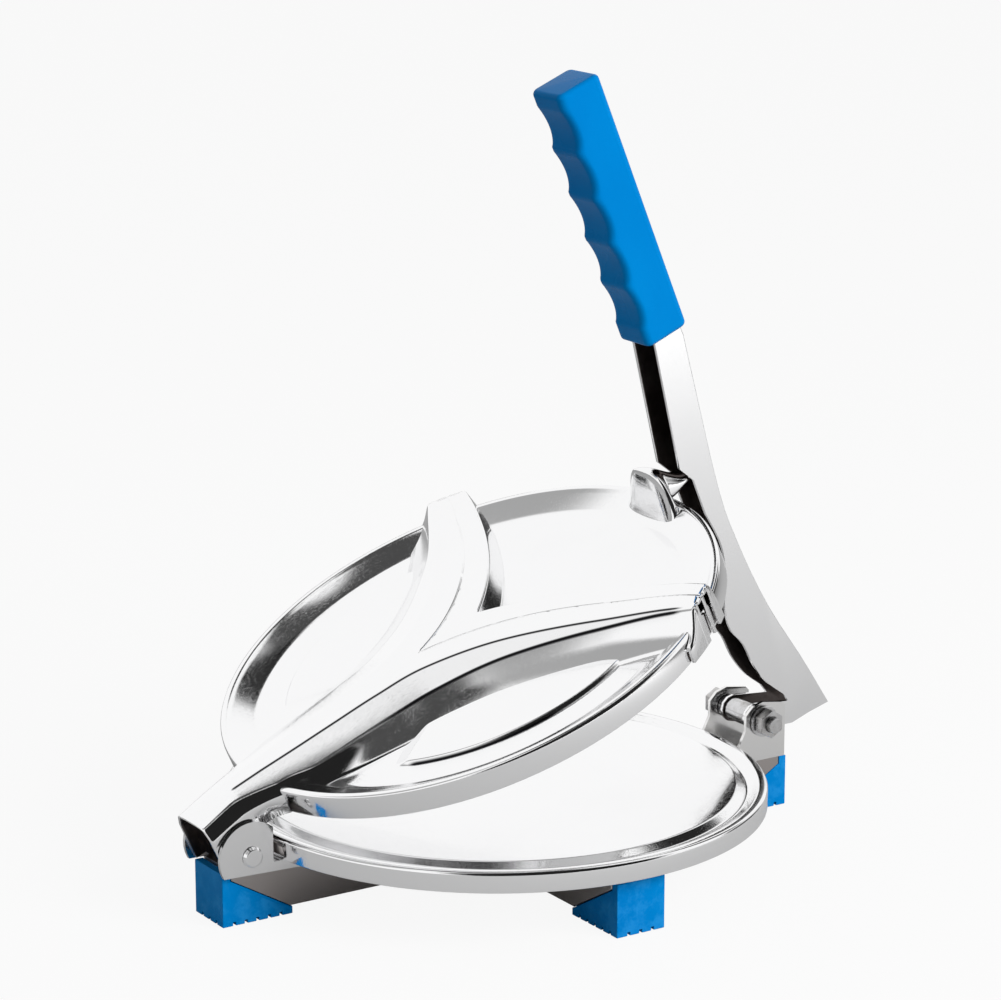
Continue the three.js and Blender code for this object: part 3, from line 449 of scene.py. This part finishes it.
def cover_disc():
    """The dished cover, with extra rings where the raised fields slope."""
    u = UPPER
    r, s = u["radius"], u["sheet"]
    edge = r - ISLAND["rim_in"]
    rings = [(edge + k * ISLAND["slope"] / ISLAND["rings"], u["panel"])
             for k in range(-ISLAND["rings_in"], ISLAND["rings_out"] + 1)]
    over = ([(flat, u["panel"]) for flat in (0, *u["flats"])] + rings + [
        (r - u["slope_inner_in"], u["panel"]), (r - u["slope_outer_in"], u["slope_top"]),
        (r - u["slope_outer_in"] + u["rim_turn"], u["rim_top"]), (r, u["rim_top"]),
        (r, u["skirt_bottom"]), (r - s, u["skirt_bottom"]), (r - s, u["panel"] - s),
        (0, u["panel"] - s)])
    bends = ([u["flat_bend"]] * 2 + [u["ring_bend"]] * len(rings) + [*u["rim_bends"], u["corner"]]
             + [u["edge_bend"]] * 2 + [u["under_bend"]])
    bm = bmesh.new()
    turned(bm, ring_profile(over, bends, u["bend_steps"]), u["steps"])
    # The 'line' layer carries painted shade: the dark line along the near island's foot
    line = bm.verts.layers.float.new("line")
    for vert in bm.verts:
        if vert.co.z > u["panel"] - s / 2:
            vert.co.z += island_height(vert.co.x, vert.co.y)
            vert[line] = island_painted_shade(vert.co.x, vert.co.y)
    return finished("cover_dish", bm, SWUNG, "top_plate", [plate_steel],
                    ["top_cover"], SMOOTH_DEG)


# The three-armed deck and its stem, folded from one sheet
OUTER = [Vector(knot) for knot in CREST_KNOTS]
INNER = [Vector((x, y)) * UPPER["radius"] for x, y in CREST_INNER_SHARES]
ARM_END = UPPER["radius"] + UPPER["arm_past"]
FIRST_STRETCH = 1 / (len(OUTER) - 1)  # of the crest, where the stem's section eases into the deck's
TANGENT_STEP = 0.004


def crest_height(point):
    along_arm = eased(*ARM_RISE_SHARES, point.xy.length / ARM_END) * eased(*ARM_RISE_X, point.x)
    return UPPER["crest"] + UPPER["arm_rise"] * along_arm


def beside_inner(t, out):
    """A place beside the crest between the arms."""
    point, along = curve_point(INNER, t), curve_direction(INNER, t)
    return point - Vector((-along.y, along.x)) * out


def outer_section(t):
    """Offsets and drops from the crest line, from the flank's foot to the deck's top."""
    d, knot = DECK, thread_through(OUTER, t)
    shoulder, foot = knot.z, knot.w
    corners = [(foot, -d["foot"]), (mix(shoulder, foot, d["flank_share"]), -d["flank"]),
               (shoulder, -d["shoulder_slope"] * shoulder), (0, 0), (-d["inside"], 0)]
    section = rounded(corners, d["outer_bends"], BEND_STEPS)
    if t < FIRST_STRETCH:
        share = eased(0, FIRST_STRETCH, t)
        section = [a.lerp(b, share) for a, b in zip(stem_section(OUTER[0].x), section)]
    return section


def beside_outer(t, row):
    """Where a row runs beside the outer crest, and how far below it."""
    before, after = (thread_through(OUTER, t + step) for step in (-TANGENT_STEP, TANGENT_STEP))
    along = (after - before).xy.normalized()
    along = Vector((1, 0)).lerp(along, eased(0, FIRST_STRETCH, t))
    out, drop = outer_section(t)[row]
    return thread_through(OUTER, t).xy + Vector((-along.y, along.x)) * out, drop


def inner_section():
    """The same offsets and drops for the short flank between the arms."""
    d = DECK
    foot, flank, shoulder = d["inner_outs"]
    corners = [(foot, -d["foot"]), (flank, -d["flank"]), (shoulder, -d["inner_shoulder"]),
               (0, 0), (-d["inside"], 0)]
    return rounded(corners, d["inner_bends"], BEND_STEPS)


def stem_spread(x):
    """How far the stem has opened out to the deck's section at x, from 0 to 1."""
    start = STEM["spread_x"]
    return min(max((x + start) / (start + OUTER[0].x), 0.0), 1.0) ** STEM["spread_power"]


def stem_section(x):
    """The same count of places across the stem's wall, bevel and top."""
    s = STEM
    spread = stem_spread(x)
    wall = s["half"] - s["crest_half"]
    out = mix(wall, OUTER[0].w, spread)
    edge = mix(s["edge_half"] - s["crest_half"], OUTER[0].z, spread)
    top = stem_top(x)
    drop = DECK["shoulder_slope"] * edge * (top - s["top"]) / (UPPER["crest"] - s["top"])
    across = x - PIN_X
    if across < s["lobe_back"]:
        low = s["bottom"]
    elif across < s["lobe"]:
        low = HINGE.z - math.sqrt(max(s["lobe"] ** 2 - across ** 2, 0))
    else:
        low = UPPER["skirt_bottom"] - GAP
    corners = [(mix(wall, out, eased(s["wall_turn_x"], OUTER[0].x, x)), low - top),
               (out, -drop - s["bevel_drop"]), (edge, -drop), (0, 0), (-DECK["inside"], 0)]
    return rounded(corners, s["bends"], BEND_STEPS)


def stem_top(x):
    start = PIN_X - STEM["past_pin"] - STEM["rise_before"]
    return mix(STEM["top"], UPPER["crest"], eased(start, STEM["rise_end_x"], x))


ROWS = len(inner_section()) - 1


def crease_of(row):
    """How near a row lies to the two bends of the outer side, from 0 to 1."""
    return max(0.0, 1 - min(abs(row - SHOULDER_ROW), abs(row - CREST_ROW)) / CREASE_ROWS)


def inner_span(row):
    """Shares of the inner crest's curve where a row meets the middle line and the arm's end."""
    out = inner_section()[row].x
    return (solved(*INNER_START, lambda t: beside_inner(t, out).y),
            solved(*INNER_END, lambda t: beside_inner(t, out).length - ARM_END))


OUTER_REACHES = [solved(*OUTER_END, lambda t: beside_outer(t, row)[0].length - ARM_END)
                 for row in range(ROWS + 1)]
INNER_SPANS = [inner_span(row) for row in range(ROWS + 1)]


def stem_place(x, row):
    out, drop = stem_section(x)[row]
    crest = mix(STEM["crest_half"], OUTER[0].y, stem_spread(x))
    return Vector((x, crest + out, stem_top(x) + drop))


def outer_place(u, row):
    if u < STEM_SHARE:
        return stem_place(mix(PIN_X - STEM["past_pin"], OUTER[0].x, u / STEM_SHARE), row)
    t = (u - STEM_SHARE) / (1 - STEM_SHARE) * OUTER_REACHES[row]
    point, drop = beside_outer(t, row)
    return Vector((point.x, point.y, crest_height(point) + drop))


def inner_place(u, row):
    out, drop = inner_section()[row]
    point = beside_inner(mix(*INNER_SPANS[row], u), out)
    if u == 0:
        point.y = 0
    return Vector((point.x, point.y, crest_height(point) + drop))


def spine_point(share, end):
    return curve_point((Vector((SPINE_BEND_X, 0)), Vector(SPINE_PULL), end), share)


def deck_and_stem():
    """The near half is laid row by row, folded down at the arm's end, mirrored and given a wall."""
    bm = bmesh.new()
    # The 'line' layer carries painted shade: dark lines along the deck's creases
    line = bm.verts.layers.float.new("line")

    def lay(columns, place_row, with_painted_shade):
        verts = patch(bm, columns, ROWS, lambda u, v: Vector((u, v, 0)))
        for vert in verts:
            u, row = vert.co.x, round(vert.co.y * ROWS)
            vert.co = place_row(u, row)
            if with_painted_shade:
                # Painted shade: rows at the shoulder and crest bends get a dark line value
                by_crest = CREST_ROW - row < row - SHOULDER_ROW
                starts = CREST_SHADE_STARTS if by_crest else SHOULDER_SHADE_STARTS
                vert[line] = crease_of(row) * eased(*starts, u) * (1 - eased(*CREASE_SHADE_END, u))
        face_up(bm, verts)
    lay(OUTER_COLUMNS, outer_place, True)
    lay(INNER_COLUMNS, inner_place, False)
    outer_end = outer_place(1.0, ROWS)
    inner_end = inner_place(1.0, ROWS)
    arm_end = Vector(((outer_end.x + inner_end.x) / 2, (outer_end.y + inner_end.y) / 2))
    arm_end = arm_end.normalized() * ARM_END
    bend_share = next(k / OUTER_COLUMNS for k in range(OUTER_COLUMNS)
                      if outer_place(k / OUTER_COLUMNS, ROWS).x > SPINE_BEND_X)

    def on_top(edge_point, spine, v):
        flat = Vector((mix(spine.x, edge_point.x, v), mix(spine.y, edge_point.y, v)))
        on_deck = eased(-UPPER["radius"], DECK["level_x"], flat.x)
        level = mix(stem_top(flat.x), crest_height(flat), on_deck)
        return Vector((flat.x, flat.y, mix(level, edge_point.z, v ** DECK["edge_power"])))

    def outer_top(u, v):
        edge = outer_place(u, ROWS)
        if u <= bend_share:
            spine = Vector((min(edge.x, SPINE_BEND_X), 0))
        else:
            spine = spine_point((u - bend_share) / (1 - bend_share), arm_end)
        return on_top(edge, spine, v)

    def inner_top(u, v):
        return on_top(inner_place(u, ROWS), spine_point(u, arm_end), v)
    face_up(bm, patch(bm, OUTER_COLUMNS, TOP_ROWS, outer_top))
    face_up(bm, patch(bm, INNER_COLUMNS, TOP_ROWS, inner_top))
    bmesh.ops.remove_doubles(bm, verts=bm.verts, dist=MERGE)
    rim = [edge for edge in bm.edges if len(edge.link_faces) == 1
           and all(abs(vert.co.xy.length - ARM_END) < 2 * MERGE and vert.co.x > 0
                   for vert in edge.verts)]
    fold = bmesh.ops.extrude_edge_only(bm, edges=rim)["geom"]
    for vert in fold:
        if isinstance(vert, bmesh.types.BMVert):
            vert.co.z = UPPER["skirt_bottom"]
            vert[line] = 0.0
    bmesh.ops.bevel(bm, geom=rim, offset=DECK["fold_bend"], offset_type='OFFSET', segments=3,
                    profile=0.5, affect='EDGES', material=-1)
    mirrored = bmesh.ops.mirror(bm, geom=bm.verts[:] + bm.edges[:] + bm.faces[:],
                                matrix=Matrix.Identity(4), merge_dist=MERGE, axis='Y')
    face_up(bm, [item for item in mirrored["geom"] if isinstance(item, bmesh.types.BMVert)])
    bmesh.ops.remove_doubles(bm, verts=bm.verts, dist=MERGE)
    # The painted crease shade is kept only on the near half, the side towards the camera
    for vert in bm.verts:
        if vert.co.y > 0:
            vert[line] = 0.0
    piece = finished("deck_and_stem", bm, SWUNG, "top_plate",
                     [plate_steel, shade_darkened_inside], (), 50, closed=False)
    give_wall(piece, UPPER["sheet"])
    return piece


def rim_height(radius):
    u = UPPER
    panel_end, slope_end = u["radius"] - u["slope_inner_in"], u["radius"] - u["slope_outer_in"]
    return mix(u["panel"], u["rim_top"], eased(panel_end, slope_end, radius))


def nose():
    """A pressed hood on the rim: it flares out of the panel and ends in a narrow tongue."""
    n = NOSE
    root, span = UPPER["radius"] - n["root_in"], n["root_in"] + n["past"]

    def place(u, v):
        x = root + u * span
        half = mix(n["root_half"], n["tip_half"], eased(n["peak_share"], n["neck_share"], u))
        top = mix(rim_height(root) - n["root_sunk"], n["top"], eased(0, n["peak_share"], u))
        top -= (n["top"] - n["tip_top"]) * eased(n["peak_share"], 1, u)
        low = rim_height(x) - n["sunk"]
        if x > UPPER["radius"]:
            low = mix(low, n["tip_top"] - n["tip_depth"], eased(UPPER["radius"], root + span, x))
        low = min(low, top - n["least"])
        angle = math.pi * (1 - v)
        c, rise = math.cos(angle), max(math.sin(angle), 0) ** n["rise_power"]
        flare = n["flare"] * (1 - rise) ** n["flare_power"] * (1 - eased(*n["flare_shares"], u))
        y = math.copysign(half * abs(c) ** n["side_power"] + flare, c)
        return Vector((x, y, low + (top - low) * rise))
    bm = bmesh.new()
    face_up(bm, patch(bm, n["columns"], n["rows"], place))
    bmesh.ops.remove_doubles(bm, verts=bm.verts, dist=MERGE)
    piece = finished("nose", bm, SWUNG, "top_plate", [plate_steel, shade_darkened_inside],
                     ["top_nose"], SMOOTH_DEG, closed=False)
    give_wall(piece, n["sheet"])
    return piece


# Pieces that keep the frame's form and get their edges broken
def merged_copy(node):
    bm = bmesh.new()
    bm.from_mesh(frame["nodes"][node].data)
    bmesh.ops.remove_doubles(bm, verts=bm.verts, dist=COPY_MERGE)
    bmesh.ops.dissolve_limit(bm, angle_limit=math.radians(FLAT_DEG), verts=bm.verts,
                             edges=bm.edges)
    bm.normal_update()
    return bm


def softened_from(bm, node, width_mm, materials, segments=3):
    mesh = bpy.data.meshes.new(node + "_finished")
    bm.to_mesh(mesh)
    bm.free()
    piece = as_piece(node + "_finished", mesh, BODY_OF[node], materials, [node],
                     COPY_SMOOTH_DEG)
    edges = piece.modifiers.new("broken_edges", 'BEVEL')
    edges.width = width_mm / 1000
    edges.segments = segments
    edges.limit_method = 'ANGLE'
    edges.angle_limit = math.radians(EDGE_DEG)
    edges.harden_normals = True
    return piece


def softened(node, width_mm, materials, segments=3):
    return softened_from(merged_copy(node), node, width_mm, materials, segments)


# Lever and grip
LEAN = math.radians(GRIP["lean_deg"])
UP = Vector((-math.sin(LEAN), math.cos(LEAN)))
OUT = Vector((math.cos(LEAN), math.sin(LEAN)))


def grip_point(out, up):
    """A place in the lever's own plane, out and up from the foot of the grip's finger side."""
    base = Vector((PIVOT.x + GRIP_BASE_SHARES[0] * LEVER["rise"],
                   PIVOT.z + GRIP_BASE_SHARES[1] * LEVER["rise"]))
    return base + OUT * out + UP * up


def lever_channel():
    """The frame's folded channel with its two bends rounded and its inner side given the rougher inner
    steel, darkened as painted shade.
    """
    bm = merged_copy("lever_channel")
    half, sheet = LEVER["half"] / 1000, LEVER["sheet"] / 1000

    def bends(at, radius_mm, side):
        picked = [edge for edge in bm.edges if len(edge.link_faces) == 2
                  and all(abs(abs(vert.co.y) - at) < ON_PLANE for vert in edge.verts)
                  and sum(abs(face.normal.y) > 0.9 for face in edge.link_faces) == 1
                  and sum(face.normal.x * side > 0.2 for face in edge.link_faces) == 1]
        bmesh.ops.bevel(bm, geom=picked, offset=radius_mm / 1000, offset_type='OFFSET', segments=5,
                        profile=0.5, affect='EDGES', clamp_overlap=True, material=-1)
    bends(half, LEVER["bend"], 1)
    bends(half - sheet, LEVER["bend"] - LEVER["sheet"], -1)
    bm.normal_update()
    # Inner faces get the second material, which is darkened as painted shade
    for face in bm.faces:
        middle = face.calc_center_median()
        inner_wall = abs(middle.y) < half - sheet / 2 and face.normal.y * middle.y < -1e-9
        inner_back = abs(middle.y) < half - sheet and face.normal.x < -0.2
        if inner_wall and abs(face.normal.y) > 0.3 or inner_back:
            face.material_index = 1
    return softened_from(bm, "lever_channel", LEVER["edge"], [lever_steel, shade_darkened_inside])


def groove_depth(up):
    """How deep the finger side is at a height up the grip."""
    g = GRIP
    plain = g["length"] * g["end_share"]
    pitch = (g["length"] - 2 * plain) / g["grooves"]
    if up <= plain or up >= g["length"] - plain:
        return 0.0
    share = ((up - plain) / pitch) % 1.0
    if share < g["ridge_share"]:
        return 0.0
    s = (share - g["ridge_share"]) / (1 - g["ridge_share"])
    skew, fullness = g["groove_powers"]
    return g["groove"] * math.sin(math.pi * s ** skew) ** fullness


def grip_sleeve():
    """The moulded grip: a rounded bar with finger grooves on one side and softened ends."""
    g = GRIP
    half_depth, half, r, cap = g["depth"] / 2, g["half"], g["corner"], g["cap"]
    rows, cap_rows = g["rows"], g["cap_rows"]

    def section(v, inset):
        corners = [(half_depth - r, half - r), (-half_depth + r, half - r),
                   (-half_depth + r, -half + r), (half_depth - r, -half + r)]
        place = (v * 4) % 4
        quarter = int(place)
        share = place - quarter
        cx, cy = corners[quarter]
        nx, ny = corners[(quarter + 1) % 4]
        start = math.pi / 2 * quarter
        radius = max(r - inset, g["least_corner"])
        if share < 0.5:
            angle = start + share * math.pi
            return cx + radius * math.cos(angle), cy + radius * math.sin(angle)
        angle = start + math.pi / 2
        t = (share - 0.5) * 2
        return (mix(cx, nx, t) + radius * math.cos(angle), mix(cy, ny, t) + radius * math.sin(angle))

    def place(u, v):
        k = u * (rows + 2 * cap_rows)
        if cap_rows <= k <= rows + cap_rows:
            up, inset = mix(cap, g["length"] - cap, (k - cap_rows) / rows), 0.0
        else:
            below = k < cap_rows
            angle = (k if below else rows + 2 * cap_rows - k) / cap_rows * math.pi / 2
            inset = cap - cap * math.sin(angle)
            up = cap * (1 - math.cos(angle))
            up = up if below else g["length"] - up
        out, y = section(v, inset)
        out += half_depth
        out += groove_depth(up) * eased(g["groove_reach"], 0.0, out)
        flat = grip_point(out, up)
        return Vector((flat.x, y, flat.y))
    bm = bmesh.new()
    patch(bm, rows + 2 * cap_rows, g["around"], place)
    bmesh.ops.remove_doubles(bm, verts=bm.verts, dist=MERGE)
    ends = [edge for edge in bm.edges if len(edge.link_faces) == 1]
    bmesh.ops.holes_fill(bm, edges=ends, sides=0)
    return finished("grip_sleeve", bm, CENTRED, "lever", [blue_plastic],
                    ["handle_grip"], 40)


def small_pieces():
    """The stand, its brackets, the feet and the fasteners: edge width in mm, look and segments."""
    by_node = {"hinge_bracket": (0.25, lever_steel, 3), "lever_bracket": (0.3, stand_steel, 3),
               "hinge_pin": (0.3, lever_steel, 2)}
    by_kind = {"base": (0.45, rail_steel, 3), "foot": (0.6, blue_plastic, 3)}
    others = (0.2, fastener, 2)
    made = {"bottom_plate", "top_press_disc", "top_cover", "top_nose", "lever_channel",
            "handle_grip"}
    for node in sorted(set(frame["nodes"]) - made):
        width, look, segments = by_node.get(node) or by_kind.get(node.split("_")[0], others)
        softened(node, width, [look], segments)


# Studio
def looking(place, aim):
    turn = (aim - place).to_track_quat('-Z', 'Y').to_matrix().to_4x4()
    return Matrix.Translation(place) @ turn


def put_camera():
    data = bpy.data.cameras.new("camera")
    data.sensor_fit = 'HORIZONTAL'
    data.sensor_width = SENSOR_MM
    data.lens = SENSOR_MM * FOCAL_PIXELS / PICTURE_WIDTH
    camera = bpy.data.objects.new("camera", data)
    shift = Vector((CENTRED.translation.x, 0, 0))
    camera.matrix_world = looking(EYE + shift, AIM + shift)
    bpy.context.scene.collection.objects.link(camera)
    bpy.context.scene.camera = camera


def put_world():
    """A white tent with dark openings, which only the steel's reflections see."""
    world = bpy.data.worlds.new("studio")
    world.use_nodes = True
    s = Surface(world.node_tree)
    at = s.node("ShaderNodeTexCoord", output="Generated")
    axes = s.node("ShaderNodeSeparateXYZ", None, {"Vector": at})
    x, z = axes, s.out(axes, 2)

    def dimmed(azimuth_deg, elevation_deg, start, full, depth):
        azimuth, elevation = math.radians(azimuth_deg), math.radians(elevation_deg)
        way = (math.cos(azimuth) * math.cos(elevation), math.sin(azimuth) * math.cos(elevation),
               math.sin(elevation))
        near = s.node("ShaderNodeVectorMath", {"operation": 'DOT_PRODUCT'}, {0: at, 1: way}, "Value")
        return 1.0 - near.above(start, full) * depth

    def tent(strength):
        return s.node("ShaderNodeBackground", None, {"Color": (1, 1, 1, 1), "Strength": strength})
    behind_camera = dimmed(-95, 25, 0.64, 0.79, 0.985)
    ring_overhead = z.above(0.885, 0.92) * (1.0 - z.above(0.985, 0.995)) * (1.0 - x.above(0.2, 0.3))
    overhead = 1.0 - ring_overhead * 0.93
    back = dimmed(62, 58, 0.975, 0.99, 0.97)
    right = dimmed(14, 42, 0.962, 0.985, 0.98)
    left = dimmed(160, 45, 0.9, 0.975, 0.6)
    low_right = dimmed(2, 6, 0.935, 0.975, 0.9)
    dark = 1.0 - behind_camera * overhead * back * right * left * low_right
    path = s.node("ShaderNodeLightPath")
    glossy = s.out(path, 3)
    white = tent(1.0)
    mirror = s.node("ShaderNodeMixShader", None, {0: dark, 1: white, 2: tent(0.0)})
    lit = s.node("ShaderNodeMixShader", None, {0: glossy, 1: tent(0.5), 2: mirror})
    whole = s.node("ShaderNodeMixShader", None, {0: path, 1: lit, 2: white})
    s.node("ShaderNodeOutputWorld", None, {"Surface": whole})
    bpy.context.scene.world = world


def put_floor():
    """A pale floor just under the feet, nearly white to the camera."""
    bm = bmesh.new()
    bmesh.ops.create_grid(bm, x_segments=1, y_segments=1, size=FLOOR_HALF,
                          matrix=Matrix.Translation((0, 0, FLOOR_Z)))
    mesh = bpy.data.meshes.new("floor")
    bm.to_mesh(mesh)
    bm.free()
    made, s = material("pale_floor")
    diffuse = s.node("ShaderNodeBsdfDiffuse", None, {"Color": (0.5, 0.5, 0.5, 1)})
    white = s.node("ShaderNodeEmission", None, {"Color": (1, 1, 1, 1), "Strength": 1.0})
    path = s.node("ShaderNodeLightPath")
    finish_with(s, s.node("ShaderNodeMixShader", None, {0: path * 0.92, 1: diffuse, 2: white}))
    mesh.materials.append(made)
    floor = bpy.data.objects.new("floor", mesh)
    bpy.context.scene.collection.objects.link(floor)


def put_lamp(name, place, aim, size, watts):
    data = bpy.data.lights.new(name, 'AREA')
    data.size = size
    data.energy = watts
    lamp = bpy.data.objects.new(name, data)
    lamp.matrix_world = looking(Vector(place), Vector(aim))
    lamp.visible_glossy = False
    bpy.context.scene.collection.objects.link(lamp)


bottom_plate()
press_disc()
cover_disc()
deck_and_stem()
nose()
lever_channel()
grip_sleeve()
small_pieces()
put_camera()
put_world()
put_floor()
put_lamp("key", (0.45, -1.1, 0.7), (0, 0, 0.1), 0.8, 22)
bpy.context.scene.view_settings.view_transform = 'Standard'
